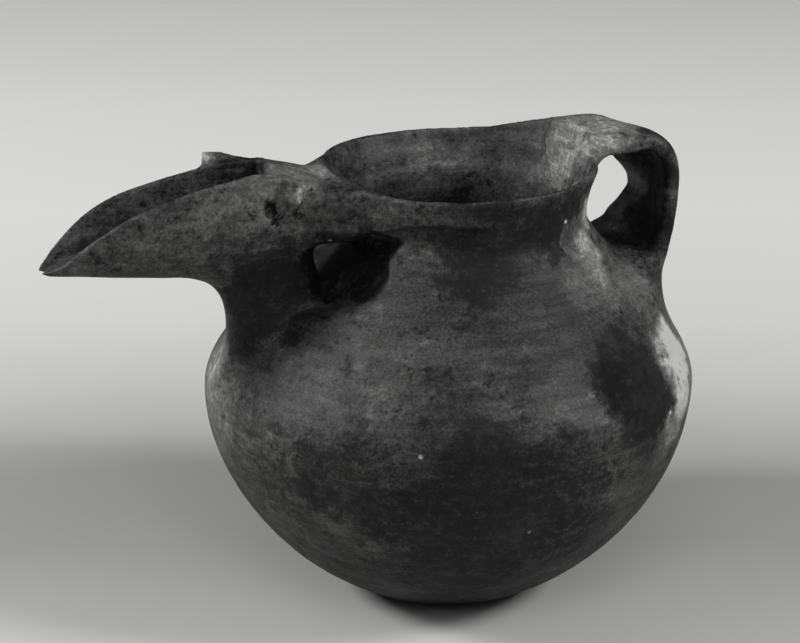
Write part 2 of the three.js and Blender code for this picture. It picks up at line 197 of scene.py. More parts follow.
def lookUp(distances, r, z):
    u = np.clip((r - table["radius"][0]) / table["spacing"], 0, distances.shape[0] - lastCell)
    v = np.clip((z - table["height"][0]) / table["spacing"], 0, distances.shape[1] - lastCell)
    i, j = u.astype(np.int32), v.astype(np.int32)
    u, v = u - i, v - j
    a = mix(distances[i, j], distances[i + 1, j], u)
    b = mix(distances[i, j + 1], distances[i + 1, j + 1], u)
    return mix(a, b, v)


wallDistances = tableOf(wallSection())
filledDistances = tableOf(filledSection())


def pressedIn(x, y, z):
    # Under the bridge the neck is pressed in.
    angle = np.degrees(np.arctan2(np.abs(y), -x))
    edge = np.interp(z, *np.array(vessel["pressedEdge"]).T)
    deep = vessel["pressed"] * (1 - smooth(angle - edge, -vessel["pressedSoft"], vessel["pressedSoft"]))
    deep = deep * smooth(z, *vessel["pressedFrom"]) * (1 - smooth(z, *vessel["pressedTo"]))
    spread = 1 - smooth(np.abs(np.degrees(np.arctan2(y, x)) - vessel["spreadAngle"]), 0, vessel["spreadReach"])
    return deep - vessel["spread"] * spread * smooth(z, *vessel["spreadAt"])


def upright(x, z):
    # X as it would be if the vessel didn't lean.
    return x - vessel["lean"] * smooth(z, *vessel["leanAt"])


def vesselDistance(x, y, z, distances=wallDistances):
    shifted = upright(x, z)
    radius = np.sqrt(shifted ** 2 + y ** 2) + pressedIn(shifted, y, z)
    return lookUp(distances, radius, z - drawnUp(x, y, z))


def outsideWall(x, y, z, sunk):
    # Keeps a member that is luted on from reaching deeper into the wall than sunk.
    return -sunk - vesselDistance(x, y, z, filledDistances)


def layVessel():
    x, y, z = placed(grid["low"], grid["high"])[1]
    for i in range(0, counts[0], grid["slices"]):
        part = slice(i, min(counts[0], i + grid["slices"]))
        clay[part] = vesselDistance(x[part], y, z)


# The head and beak: an open trough, in sections across it at each X.
beak = {
    "box": ((-149, -34, 112), (-36, 34, 166)),
    "tip": -147.2, "neck": -40.0, "end": -38.5,
    "topNear": [(-145.2, 130.6), (-142, 131.6), (-138.5, 133.6), (-133, 139.2), (-128.3, 143.2), (-122.6, 146.9),
                (-116.8, 150.2), (-105.4, 154.4), (-96.2, 156.9), (-87, 158.9), (-77.8, 160.2), (-70.8, 160.6),
                (-64, 160.2), (-56, 158.2), (-48, 155.6), (-38, 152.8)],
    "topFar": [(-145.2, 130.9), (-142, 134.0), (-138.9, 136.6), (-132.7, 140.9), (-126.8, 144.9),
               (-120.9, 147.9), (-115, 150.2), (-109.2, 151.8), (-97.5, 154.4), (-85.7, 156.6), (-78.7, 158.0),
               (-70, 159.6), (-64, 159.8), (-56, 158.0), (-48, 155.4), (-38, 152.8)],
    "under": [(-145.2, 129.9), (-142.2, 129.2), (-136.6, 128.9), (-131, 128.5), (-119.5, 127.0), (-102.2, 124.9),
              (-91.2, 124.3), (-84, 124.6), (-76, 125.6), (-68, 127.2), (-60, 129.2), (-52, 132.0), (-38, 133.4)],
    "half": [(-147.2, 1.6), (-142, 4.8), (-137, 8.2), (-131, 11.3), (-123, 13.8), (-113, 15.0), (-98, 15.3),
             (-80, 15.2), (-66, 15.0), (-56, 15.8), (-48, 18.0), (-38, 21.5)],
    "crown": [(-146, 0.2), (-74, 0.2), (-66, 3.0), (-58, 4.6), (-38, 4.6)],
    "keelRound": 0.9, "cheekFull": 0.62, "topRound": 2.4, "topHalf": 0.93,
    "lowCheek": 1.2, "lowCheekAt": (-143, -125),
    "wall": 2.4, "thicker": 2.2, "thickerAt": (-82, -72),
    "floor": 5.2, "floorAt": (-149, -131), "floorBack": -90.0, "floorLift": 0.6,
    "shallowest": 0.8, "troughFull": 0.75, "troughOpen": 14,
    "troughBack": -67.5, "troughEnd": 3, "outOfTrough": 9.0,
    "sunk": 3.0, "sunkAt": (-54, -58),   # how deep it reaches into the vessel's wall, and from where it may
    "soft": (6.5, 13.0), "softAt": (-58, -80), "softer": 2.5, "softerAt": (-50, -44), "troughSoft": 1.1,
}
farInside = 40   # mm, more than any distance that is laid


def along(name, x):
    p = np.array(beak[name])
    return np.interp(x, p[:, 0], p[:, 1])


def headSection(x, grow=0.0):
    # One closed outline in Y and Z: full cheeks, a rounded keel and a level or crowned top.
    half, low = along("half", x) + grow, along("under", x) - grow
    near, far = along("topNear", x) + grow, along("topFar", x) + grow
    crown = along("crown", x)
    turn = np.linspace(0, math.pi, 33)
    share = np.sin(turn) ** beak["keelRound"]
    lower = np.sin(2 * np.arcsin(share ** (1 / beak["keelRound"])))
    width = half * np.abs(np.cos(turn)) ** beak["cheekFull"]
    width = width + beak["lowCheek"] * smooth(x, *beak["lowCheekAt"]) * lower
    y = np.sign(np.cos(turn)) * width
    top = np.where(y > 0, far, near) - crown
    below = np.stack([y, mix(top, low, share)], 1)
    across = np.linspace(-beak["topHalf"], beak["topHalf"], 13)
    rise = crown * (1 - np.abs(across) ** beak["topRound"]) ** 0.5
    above = np.stack([half * across, np.interp(across, (-1, 1), (near - crown, far - crown)) + rise], 1)
    return np.vstack([below, above])


def troughSection(x):
    half = max(0.5, along("half", x) - beak["wall"] - beak["thicker"] * float(smooth(x, *beak["thickerAt"])))
    rise = beak["floor"] * smooth(x, *beak["floorAt"])
    low = along("under", min(x, beak["floorBack"])) + rise + beak["floorLift"]
    high = min(along("topNear", x), along("topFar", x))
    low = min(low, high - beak["shallowest"])
    turn = np.linspace(0, math.pi, 25)
    y = half * np.sign(np.cos(turn)) * np.abs(np.cos(turn)) ** beak["troughFull"]
    below = np.stack([y, mix(high, low, np.sin(turn) ** beak["keelRound"])], 1)
    top = high + beak["troughOpen"]
    return np.vstack([below, [(-half - beak["floorLift"], top), (half + beak["floorLift"], top)]])


def layBeak():
    cuts, (x, y, z) = placed(*beak["box"])
    body = np.empty(np.broadcast_shapes(x.shape, y.shape, z.shape), np.float32)
    room = body.copy()
    for i, here in enumerate(x[:, 0, 0]):
        inSpan = min(max(here, beak["tip"]), beak["neck"])
        body[i] = np.maximum(outlineDistance(y[0], z[0], headSection(inSpan)), beak["tip"] - here)
        inRoom = min(here, beak["troughBack"])
        room[i] = outlineDistance(y[0], z[0], troughSection(max(inRoom, beak["tip"])))
        past, end = here - beak["troughBack"], beak["troughEnd"]
        if past > 0:
            room[i] = np.hypot(np.maximum(room[i] + end, 0), past) - end if past < end else beak["outOfTrough"]
    sunk = outsideWall(x, y, z, beak["sunk"]) - farInside * smooth(x, *beak["sunkAt"])
    body = np.maximum(np.maximum(body, x - beak["end"]), sunk).astype(np.float32)
    return cuts, body, room


# The throat: an oval tube from the shoulder up to the beak, and its bore.
throat = {
    "box": ((-104, -34, 66), (-34, 34, 140)),
    "foot": (-57.5, 88.0), "top": (-67.8, 127.0), "ends": (-0.1, 1.12),
    "halfLong": 17.2, "halfAcross": 13.0, "flare": 6.0, "flareEnds": 0.75, "oval": 1.05,
    "boreBox": ((-92, -16, 66), (-36, 16, 166)),
    "boreFoot": (-56.0, 88.0), "boreTop": (-67.5, 127.0), "boreEnds": (-0.35, 1.25),
    "boreLong": 9.8, "boreAcross": 8.3, "boreSoft": 1.5,
    "sunk": 3.5,
    "soft": (2.5, 10.0), "softAlong": (-58, -76), "softDown": (113, 103),   # its fillet grows forward and downward
}


def tubeDistance(x, y, z, foot, top, halfLong, halfAcross, flare):
    (x0, z0), (x1, z1) = foot, top
    length = math.hypot(x1 - x0, z1 - z0)
    ux, uz = (x1 - x0) / length, (z1 - z0) / length
    t = ((x - x0) * ux + (z - z0) * uz) / length
    off = (x - x0) * uz - (z - z0) * ux
    extra = flare * (1 - smooth(t, 0, throat["flareEnds"]))
    a, b = halfLong + extra, halfAcross + extra
    reach = np.sqrt((off / a) ** 2 + (y / b) ** 2)
    return (reach - 1) * np.minimum(a, b) * throat["oval"], t, length


def layThroat():
    cuts, (x, y, z) = placed(*throat["box"])
    tube, t, length = tubeDistance(x, y, z, throat["foot"], throat["top"], throat["halfLong"],
                                   throat["halfAcross"], throat["flare"])
    ends = np.maximum(throat["ends"][0] - t, t - throat["ends"][1]) * length
    return cuts, np.maximum(np.maximum(tube, ends), outsideWall(x, y, z, throat["sunk"])).astype(np.float32)


def boreThroat():
    cuts, (x, y, z) = placed(*throat["boreBox"])
    tube, t, length = tubeDistance(x, y, z, throat["boreFoot"], throat["boreTop"], throat["boreLong"],
                                   throat["boreAcross"], 0)
    ends = np.maximum(throat["boreEnds"][0] - t, t - throat["boreEnds"][1]) * length
    return cuts, np.maximum(tube, ends).astype(np.float32)


# The handle: a strap along a line in the plane Y = 0, thicker and wider where it is luted on.
handle = {
    "box": ((36, -44, 78), (90, 44, 166)),
    "line": [(41.6, 141.0), (44.6, 146.6), (48.0, 152.2), (52.0, 156.8), (57.0, 158.7), (62.0, 158.8),
             (67.0, 158.5), (71.6, 157.1), (74.9, 154.5), (77.1, 150.8), (78.2, 146.0), (78.4, 140.5), (77.9, 134.3),
             (76.2, 127.6), (73.8, 121.0), (71.4, 114.0), (69.6, 104.0), (68.0, 94.0)],
    "halfThick": [(0, 3.0), (0.2, 3.0), (0.33, 3.2), (0.42, 3.3), (0.55, 2.9), (0.65, 2.8), (0.72, 3.2), (0.8, 4.2),
                  (0.9, 5.8), (1, 7.0)],
    "halfWide": [(0, 18.5), (0.12, 17.0), (0.24, 15.6), (0.4, 15.4), (0.5, 16.4), (0.6, 18.0), (0.7, 18.4),
                 (0.8, 19.5), (0.9, 22.0), (1, 24.0)],
    "cupped": [(0, -3.0), (0.12, -2.5), (0.2, -1.5), (0.27, 0.4), (0.34, 2.2), (0.4, 3.6), (0.46, 3.8),
               (0.5, 3.4), (0.535, 2.0), (0.57, 0.7), (0.61, 0.2), (0.67, 1.3), (0.72, 2.4), (0.77, 2.4), (0.84, 0.6),
               (1, 0)],
    "twist": [(0, 0), (0.12, 0.6), (0.22, 2.0), (0.3, 0.4), (0.35, -2.0), (0.4, -3.9), (0.46, -4.0), (0.5, -3.4),
              (0.535, -1.8), (0.57, -0.3), (0.61, 0.4), (0.67, -1.2), (0.72, -2.5), (0.77, -2.6), (0.84, 0), (1, 0)],
    "core": 0.12, "round": 0.88,   # of half its thickness: what is flat, and what rounds the edges
    "aside": 0.6,
    "sunk": 3.5, "sunkAt": (122, 134),
    "softRoot": 3.0, "softInside": 22.0, "softOutside": 5.0, "softAlong": (65, 75), "softDown": (136, 112),
}


def nearestOnLine(x, z, line):
    # For each point: distance to a line in X and Z, signed by side, and the share of the way along it.
    best = np.full(np.broadcast(x, z).shape, 1e9)
    side, share = best.copy(), best.copy()
    lengths = np.linalg.norm(np.diff(line, axis=0), axis=1)
    start = np.concatenate([[0], np.cumsum(lengths)])
    for k, (a, b) in enumerate(zip(line[:-1], line[1:])):
        e = b - a
        t = ((x - a[0]) * e[0] + (z - a[1]) * e[1]) / (e @ e)
        t = np.clip(t, 0, 1)
        dx, dz = x - a[0] - t * e[0], z - a[1] - t * e[1]
        gap = np.hypot(dx, dz)
        closer = gap < best
        best = np.where(closer, gap, best)
        side = np.where(closer, gap * np.sign(dx * e[1] - dz * e[0]), side)
        share = np.where(closer, (start[k] + t * lengths[k]) / start[-1], share)
    return side, share


def layHandle():
    cuts, (x, y, z) = placed(*handle["box"])
    line = throughPoints(handle["line"], 6)
    side, share = nearestOnLine(x, z, line)
    thick = np.interp(share, *np.array(handle["halfThick"]).T)
    wide = np.interp(share, *np.array(handle["halfWide"]).T)
    bow = np.interp(share, *np.array(handle["cupped"]).T)
    turned = np.interp(share, *np.array(handle["twist"]).T)
    off = side - bow * (y / wide) ** 2 + turned * y / wide
    edge = handle["round"] * thick
    u = np.abs(off) - handle["core"] * thick
    v = np.abs(y - handle["aside"]) - (wide - edge)
    d = np.hypot(np.maximum(u, 0), np.maximum(v, 0)) + np.minimum(np.maximum(u, v), 0) - edge
    footOnly = outsideWall(x, y, z, handle["sunk"]) - farInside * smooth(z, *handle["sunkAt"])
    return cuts, np.maximum(d, footOnly).astype(np.float32)


# The bands that lute the bridge to the neck: smears of clay under the lip, which end at an angle from the spout.
bands = {
    "left": {"hand": -1, "end": 80, "thick": 4.0, "box": ((-52, -50, 128), (14, -4, 156))},
    "right": {"hand": 1, "end": 58, "thick": 3.6, "box": ((-52, 4, 128), (14, 50, 156))},
    "top": 151.5, "depth": 7.0, "drop": 10,
    "wave": 0.9, "waveDegrees": 6.5,
    "radius": 44, "lipRadius": 48.0, "lipAt": (141, 151), "thinned": 1.2, "thinnedFrom": 0.75,
    "endRadius": 46, "sunk": 2.4, "soft": 2.2,
}


def layBand(band):
    cuts, (x, y, z) = placed(*band["box"])
    angle = np.degrees(np.arctan2(np.abs(y), -(x - vessel["lean"])))
    t = np.clip(angle / band["end"], 0, 1)
    wave = bands["wave"] * np.sin(angle / bands["waveDegrees"] + band["hand"])
    low = bands["top"] - bands["depth"] - bands["drop"] * (1 - t) ** 2 + wave
    middle, half = 0.5 * (bands["top"] + low), 0.5 * (bands["top"] - low)
    radius = np.hypot(x - vessel["lean"], y)
    outer = mix(bands["radius"] + band["thick"], bands["lipRadius"], smooth(z, *bands["lipAt"]))
    outer = outer - bands["thinned"] * smooth(t, bands["thinnedFrom"], 1)
    d = np.maximum(radius - outer, np.abs(z - middle) - half)
    d = np.maximum(d, outsideWall(x, y, z, bands["sunk"]))
    past = (angle - band["end"]) * math.radians(1) * bands["endRadius"]
    return cuts, np.maximum(d, past).astype(np.float32)


# The eyes: a groove pressed down into a hollow, and a curl of clay behind it, on each cheek.
eyes = {
    "groove": [(-67.4, 161.5), (-67.0, 157.6), (-66.0, 154.4), (-65.4, 151.8), (-66.3, 149.4), (-67.9, 148.2)],
    "grooveRadius": (1.5, 3.5), "deep": 2.7,
    "curl": [(-66.2, 159.4), (-63.6, 158.9), (-61.5, 157.4), (-60.4, 154.8), (-60.4, 152.0), (-61.2, 149.4),
             (-63.0, 147.1), (-65.6, 145.4)],
    "curlRadius": 2.1, "curlEnds": (0.1, 0.8), "out": 16.3, "tucked": 3.4, "tuckedTo": 0.3,
    "cheek": 15.2, "shallow": 0.25, "soft": 0.8, "grooveSoft": 1.0, "farLower": 1.8,
    # The boxes on the near cheek. Those on the far cheek are their mirror images.
    "curlBox": ((-76, -22, 138), (-52, -8, 166)), "grooveBox": ((-78, -26, 138), (-54, -8, 166)),
}


def onCheek(box, hand):
    (x0, y0, z0), (x1, y1, z1) = box
    return box if hand < 0 else ((x0, -y1, z0), (x1, -y0, z1))


def layCurl(hand):
    cuts, (x, y, z) = placed(*onCheek(eyes["curlBox"], hand))
    side, share = nearestOnLine(x, z + (eyes["farLower"] if hand > 0 else 0), throughPoints(eyes["curl"], 6))
    start, length = eyes["curlEnds"]
    radius = eyes["curlRadius"] * np.sin(math.pi * (start + length * share))
    tucked = eyes["tucked"] * smooth(share, eyes["tuckedTo"], 0)
    d = np.hypot(np.abs(side), np.abs(y) - eyes["out"] + tucked) - radius
    return cuts, d.astype(np.float32)


def pressEye(hand):
    cuts, (x, y, z) = placed(*onCheek(eyes["grooveBox"], hand))
    side, share = nearestOnLine(x, z, throughPoints(eyes["groove"], 6))
    radius = mix(*eyes["grooveRadius"], smooth(share, 0.5, 1))
    deep = eyes["deep"] * (eyes["shallow"] + smooth(share, 0.3, 1))
    d = np.hypot(side, np.abs(y) - eyes["cheek"] - radius + deep) - radius
    return cuts, d.astype(np.float32)


# The flap that rises from the far wall and leans out, broken off at its front.
ear = {
    "box": ((-92, 6, 146), (-58, 26, 166)),
    "rooted": 2.0, "inward": 1.4, "fades": 1.5, "curved": 1.3,
    "brokenSlant": 0.35, "brokenShare": 0.8, "brokenBack": 1.6,
    "front": -84.6, "back": -64.0, "foot": 14.2, "spread": 5.6, "thick": 2.2, "soft": 1.2,
    "top": [(-85, 161.3), (-82.7, 161.6), (-76, 160.9), (-71, 159.4), (-66, 158.2)],
}


def layEar():
    cuts, (x, y, z) = placed(*ear["box"])
    t = np.clip((x - ear["front"]) / (ear["back"] - ear["front"]), 0, 1)
    high = np.interp(x, *np.array(ear["top"]).T)
    low = along("topFar", x) - ear["rooted"]
    up = (z - low) / (high - low)
    outward = ear["spread"] * (1 - t ** ear["fades"]) * np.clip(up, 0, 1) ** ear["curved"]
    middle = ear["foot"] - ear["inward"] + outward
    u = np.abs(y - middle) - ear["thick"] / 2
    v = np.maximum(low - z, z - high)
    slant = ear["brokenSlant"] * (high - z)
    w = np.maximum(ear["front"] - slant * ear["brokenShare"] + ear["brokenBack"] - x, x - ear["back"])
    return cuts, np.maximum(np.maximum(u, v), w).astype(np.float32)


# The mouth's room: what stays open inside the neck, however thick the clay outside it is laid.
mouth = {
    "box": ((-62, -60, 104), (70, 60, 166)),
    "above": [(47.2, 154.8), (49.5, 158.0), (55.0, 168.0)], "soft": 1.2,
    # The handle's root is smeared down inside the lip: how thick, from what angle, up to what angle at each height.
    "smear": 2.3, "smearNear": (-58, -34), "smearEdge": ((137, 8), (152, 22)), "smearPast": 1.3,
    "smearCrisp": 0.6, "smearAt": (136, 140),
}


def openMouth():
    inner = throughPoints(vessel["inner"], 5)[::-1]
    axis = vessel["pastAxis"]
    outline = np.vstack([[(axis, inner[0][1])], inner, mouth["above"], [(axis, mouth["above"][-1][1])]])
    cuts, (x, y, z) = placed(*mouth["box"])
    shifted = upright(x, z)
    radius = np.sqrt(shifted ** 2 + y ** 2) + pressedIn(shifted, y, z)
    angle = np.degrees(np.arctan2(y, shifted))
    (z0, angle0), (z1, angle1) = mouth["smearEdge"]
    edge = angle0 + (angle1 - angle0) * np.clip((z - z0) / (z1 - z0), 0, mouth["smearPast"])
    before = 1 - smooth(angle, edge - mouth["smearCrisp"], edge + mouth["smearCrisp"])
    smear = smooth(angle, *mouth["smearNear"]) * before * smooth(z, *mouth["smearAt"])
    return cuts, lookUp(tableOf(outline), radius + mouth["smear"] * smear, z - drawnUp(x, y, z))


# Where each member was the nearest clay when it was laid: its room, which it is cut out with later.
rooms = {}
roomMargin = 0.5


def layMembers():
    def add(name, made, soft):
        cuts, shape = made
        before = clay[cuts]
        rooms[name] = (cuts, shape - before + roomMargin)
        clay[cuts] = joined(before, shape, soft)

    def cut(made, soft):
        cuts, shape = made
        clay[cuts] = carved(clay[cuts], shape, soft)

    layVessel()
    for side in ("left", "right"):
        add(side + "_rim_band", layBand(bands[side]), bands["soft"])
    x, y, z = placed(*throat["box"])[1]
    spread = np.maximum(smooth(x, *throat["softAlong"]), smooth(z, *throat["softDown"]))
    add("spout_throat", layThroat(), mix(*throat["soft"], spread))
    cuts, head, trough = layBeak()
    x = placed(*beak["box"])[1][0]
    soft = mix(*beak["soft"], smooth(x, *beak["softAt"])) + beak["softer"] * smooth(x, *beak["softerAt"])
    add("head", (cuts, head), soft)
    add("right_ear", layEar(), ear["soft"])
    for name, hand in (("left_eye_ridge", -1), ("right_eye_ridge", 1)):
        add(name, layCurl(hand), eyes["soft"])
        cut(pressEye(hand), eyes["grooveSoft"])
    cut((cuts, trough), beak["troughSoft"])
    x, y, z = placed(*handle["box"])[1]
    foot = mix(handle["softInside"], handle["softOutside"], smooth(x, *handle["softAlong"]))
    add("handle_strap", layHandle(), mix(handle["softRoot"], foot, smooth(z, *handle["softDown"])))
    cut(openMouth(), mouth["soft"])
    cut(boreThroat(), throat["boreSoft"])


# The hand-made surface. On the belly it is only ever pressed in, so that the jug stays inside the CAD part.
marks = {
    # Bumps across in mm, how much longer they are round the jug than up it, and how deep.
    "uneven": [(44.0, 1.0, 0.36), (18.0, 1.4, 0.12), (7.0, 2.2, 0.035), (2.6, 1.0, 0.03)],
    "belly": 0.5,
    "pits": [((-5.9, -86.2, 72.5), 3.4, 1.5), ((9.9, -80.9, 51.1), 1.9, 1.2), ((10.6, -80.2, 48.6), 1.7, 1.1),
             ((-63.4, -23.8, 27.4), 2.2, 0.9), ((-79.8, 6.7, 90.0), 2.0, 0.8), ((-82.6, -8.0, 86.0), 1.8, 0.7),
             ((-52.0, -47.5, 101.5), 2.8, 0.9), ((-74.5, -44.0, 72.0), 2.0, 0.7)],
    "scratch": [(24.0, -75.2, 94.2), (31.0, -73.0, 94.9), (38.0, -70.4, 94.2)],
    "scratchDeep": 0.5, "scratchSunk": 0.3, "scratchHalf": 1.2, "scratchReach": 7,
    "chipped": 0.3, "chipSize": 5.0, "chipSeed": 31,
    "lipUp": (150, 153), "lipOut": (40, 45), "lipBack": (-40, -28),
    "smallPits": 170, "pitHeight": (8, 118), "pitWidth": (0.8, 1.9), "pitDepth": 0.35, "pitReach": 3,
    "seed": 7,
    "bellyTo": (104, 124), "thinEvener": 0.6, "thinUp": (136, 144), "thinForward": (-60, -70), "footUp": (0.4, 5.0),
    "reach": 2.4,
    "unseenInside": -3.6, "unseenBelow": 138,   # the inside of the belly is left plain
}
latticeSize, latticeOffset = 64, 411.3


def ripple(points, size, seed):
    # Seeded waves between -1 and 1, about size millimetres across.
    n = latticeSize
    lattice = np.random.default_rng(seed).uniform(-1, 1, (n, n, n)).astype(np.float32)
    place = points / size + latticeOffset
    low = np.floor(place).astype(np.int32)
    t = place - low
    t = t * t * (3 - 2 * t)
    total = 0
    for i in (0, 1):
        for j in (0, 1):
            for k in (0, 1):
                share = np.abs(1 - i - t[:, 0]) * np.abs(1 - j - t[:, 1]) * np.abs(1 - k - t[:, 2])
                total = total + share * lattice[(low[:, 0] + i) % n, (low[:, 1] + j) % n, (low[:, 2] + k) % n]
    return total


def evened(values):
    # The mean with the neighbours along each axis, which takes the steps of the tables out.
    for axis in range(3):
        ends = [slice(None)] * 3
        before, after, inner = list(ends), list(ends), list(ends)
        before[axis], after[axis], inner[axis] = slice(0, -2), slice(2, None), slice(1, -1)
        spread = values.copy()
        spread[tuple(inner)] = 0.5 * values[tuple(inner)] + 0.25 * (values[tuple(before)] + values[tuple(after)])
        values = spread
    return values


def roughen():
    near = np.nonzero(np.abs(clay) < marks["reach"])
    points = np.stack([origin[i] + grid["cell"] * near[i] for i in range(3)], 1).astype(np.float32)
    inside = vesselDistance(*points.T, filledDistances) < marks["unseenInside"]
    unseen = inside & (points[:, 2] < marks["unseenBelow"])
    near = tuple(n[~unseen] for n in near)
    points = points[~unseen]
    x, y, z = points.T
    deep = marks["belly"] * (1 - smooth(z, *marks["bellyTo"]))
    # Thin walls are evener.
    held = 1 - marks["thinEvener"] * np.maximum(smooth(z, *marks["thinUp"]), smooth(x, *marks["thinForward"]))
    for k, (size, stretch, high) in enumerate(marks["uneven"]):
        deep += high * held * ripple(points / (stretch, stretch, 1), size, marks["seed"] + k)
    lip = smooth(z, *marks["lipUp"]) * smooth(np.hypot(x - vessel["lean"], y), *marks["lipOut"])
    lip = lip * smooth(x, *marks["lipBack"])
    deep += marks["chipped"] * lip * np.clip(ripple(points, marks["chipSize"], marks["chipSeed"]), 0, 1)
    deep *= smooth(z, *marks["footUp"])
    chance = np.random.default_rng(marks["seed"])
    turn = chance.uniform(0, 2 * math.pi, marks["smallPits"])
    high = chance.uniform(*marks["pitHeight"], marks["smallPits"])
    size = chance.uniform(*marks["pitWidth"], marks["smallPits"])
    pits = list(marks["pits"])
    outer = bodyLine()
    for a, up, wide in zip(turn, high, size):
        r = np.interp(up, outer[:, 1], outer[:, 0])
        lean = vessel["lean"] * float(smooth(up, *vessel["leanAt"]))
        pits.append(((r * math.cos(a) + lean, r * math.sin(a), up), wide, marks["pitDepth"] * wide))
    for centre, wide, depth in pits:
        box = np.nonzero(np.abs(points - np.float32(centre)).max(1) < marks["pitReach"] * wide)[0]
        apart = np.linalg.norm((points[box] - np.float32(centre)) / wide, axis=1)
        deep[box] += depth * np.exp(-apart ** 2)
    line = np.array(marks["scratch"])
    for a, b in zip(line[:-1], line[1:]):
        box = np.nonzero(np.abs(points - np.float32(0.5 * (a + b))).max(1) < marks["scratchReach"])[0]
        t = np.clip(((points[box] - a) @ (b - a)) / ((b - a) @ (b - a)), 0, 1)
        apart = np.linalg.norm(points[box] - a - t[:, None] * (b - a), axis=1)
        groove = marks["scratchDeep"] * np.exp(-(apart / marks["scratchHalf"]) ** 2) + marks["scratchSunk"]
        deep[box] = np.maximum(deep[box], groove)
    clay[near] += deep


print("stage: laying the clay")
layMembers()
clay = evened(clay)
roughen()
clay = carved(clay, grid["top"] - placed(grid["low"], grid["high"])[1][2], grid["topRound"])


def skin(distances, low=origin, merged=0.0):
    # The surface of a grid of distances, as points in millimetres and faces that look out.
    field = openvdb.FloatGrid(grid["band"])
    field.copyFromArray(np.clip(distances, -grid["band"], grid["band"]))
    points, triangles, quads = field.convertToPolygons(isovalue=0.0, adaptivity=merged)
    return points * grid["cell"] + low, triangles.tolist() + quads.tolist()


def meshFrom(name, points, faces):
    mesh = bpy.data.meshes.new(name)
    mesh.from_pydata((np.array(points) / 1000).tolist(), [], faces)
    mesh.update()
    piece = bpy.data.objects.new(name, mesh)
    bpy.context.scene.collection.objects.link(piece)
    return piece


whole = meshFrom("whole", *skin(clay, merged=grid["merged"]))
print("stage: skinned", len(whole.data.vertices), "points", len(whole.data.polygons), "faces")


def roomOf(name):
    cuts, shape = rooms[name]
    low = origin + grid["cell"] * np.array([c.start for c in cuts])
    padded = np.pad(np.clip(shape, -grid["band"], grid["band"]), 2, constant_values=grid["band"])
    return meshFrom(name + "_room", *skin(padded, low - 2 * grid["cell"]))


def block(low, high):
    corners = np.array([(x, y, z) for x in (low[0], high[0]) for y in (low[1], high[1])
                        for z in (low[2], high[2])], float)
    return meshFrom("block", corners, [(0, 1, 3, 2), (4, 6, 7, 5), (0, 4, 5, 1), (2, 3, 7, 6), (0, 2, 6, 4),
                                       (1, 5, 7, 3)])


def slab(low, high):
    return block((-200, -120, low), (200, 120, high))


def cutWith(mesh, tool, how):
    holder = bpy.data.objects.new("holder", mesh)
    bpy.context.scene.collection.objects.link(holder)
    step = holder.modifiers.new("cut", "BOOLEAN")
    step.operation, step.solver, step.object = how, "MANIFOLD", tool
    graph = bpy.context.evaluated_depsgraph_get()
    made = bpy.data.meshes.new_from_object(holder.evaluated_get(graph))
    bpy.data.objects.remove(holder)
    return made


def parted(mesh, tool):
    # What lies inside the tool and what lies outside it.
    inside, outside = cutWith(mesh, tool, "INTERSECT"), cutWith(mesh, tool, "DIFFERENCE")
    bpy.data.objects.remove(tool)
    return inside, outside


# Heights in mm where the vessel is cut into its members, and where the head ends and the beak begins.
seams = {"below": -9, "slab": 7, "belly": 76, "neck": 122, "lip": 141, "shoulderFrom": 60, "head": -56}


def takeOut():
    made = {}
    low, rest = parted(whole.data, slab(seams["below"], seams["belly"]))
    made["base_slab"], made["lower_bowl"] = parted(low, slab(seams["below"], seams["slab"]))
    for name in ("handle_strap", "right_eye_ridge", "left_eye_ridge", "right_ear", "head", "spout_throat",
                 "right_rim_band", "left_rim_band"):
        made[name], rest = parted(rest, roomOf(name))
    inFront = block((-200, -90, 0), (seams["head"], 90, 190))
    made["beak_trough"], made["bridge_strap"] = parted(made.pop("head"), inFront)
    made["shoulder"], rest = parted(rest, slab(seams["shoulderFrom"], seams["neck"]))
    made["neck"], made["rim"] = parted(rest, slab(seams["shoulderFrom"], seams["lip"]))
    return made


def sampleGrid(values, points):
    # Values of a grid at points in millimetres.
    place = np.clip((points - origin) / grid["cell"], 0, np.array(counts) - lastCell)
    low = place.astype(int)
    f = (place - low)[:, :, None] if values.ndim == 4 else place - low
    total = 0
    for i in (0, 1):
        for j in (0, 1):
            for k in (0, 1):
                weight = (f[:, 0] if i else 1 - f[:, 0]) * (f[:, 1] if j else 1 - f[:, 1])
                weight = weight * (f[:, 2] if k else 1 - f[:, 2])
                total = total + weight * values[low[:, 0] + i, low[:, 1] + j, low[:, 2] + k]
    return total


def slopeAt(points):
    # The direction straight out of the clay at points.
    reach = 0.5 * grid["cell"]
    out = np.stack([sampleGrid(clay, points + step) - sampleGrid(clay, points - step)
                    for step in reach * np.eye(3)], 1)
    return out / (np.linalg.norm(out, axis=1)[:, None] + 1e-9)


# What counts as the clay's own skin: points this near to it in mm, and faces that look out about as it does.
skinned = {"depth": 0.3, "facing": 0.25}


